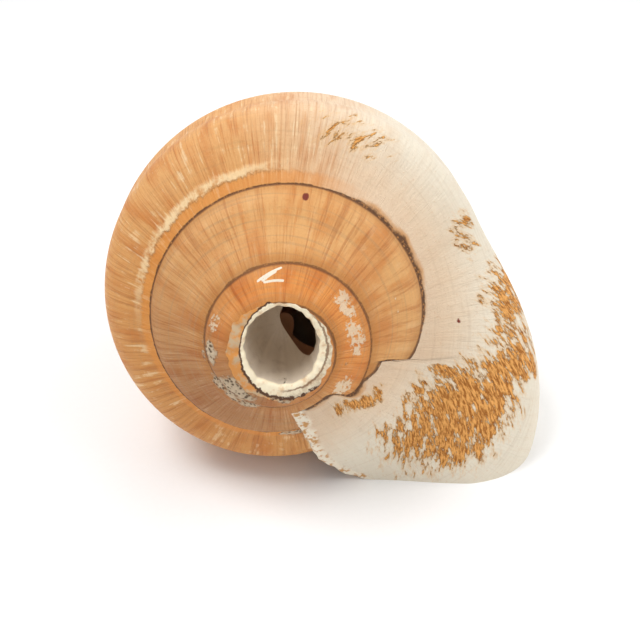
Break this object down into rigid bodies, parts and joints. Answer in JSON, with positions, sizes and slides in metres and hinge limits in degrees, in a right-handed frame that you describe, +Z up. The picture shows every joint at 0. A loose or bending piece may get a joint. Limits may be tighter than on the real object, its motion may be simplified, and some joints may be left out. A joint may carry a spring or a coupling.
{
  "type": "moon snail shell",
  "caption": "Large rounded moon snail shell with low whorls, a wide mouth and a broken, hollow tip, lying on its mouth.",
  "frame": {"origin": "middle of the bounding box, on the surface that the shell lies on", "axes": "+Z up, +X across the shell towards its lip, +Y away from its tip"},
  "size_m": [0.1076, 0.101, 0.0797],
  "materials": {
    "shell": "weathered shell, satin, orange tan to cream with brown patches"
  },
  "bodies": {
    "root": {"shell": "shell"}
  },
  "joints": []
}
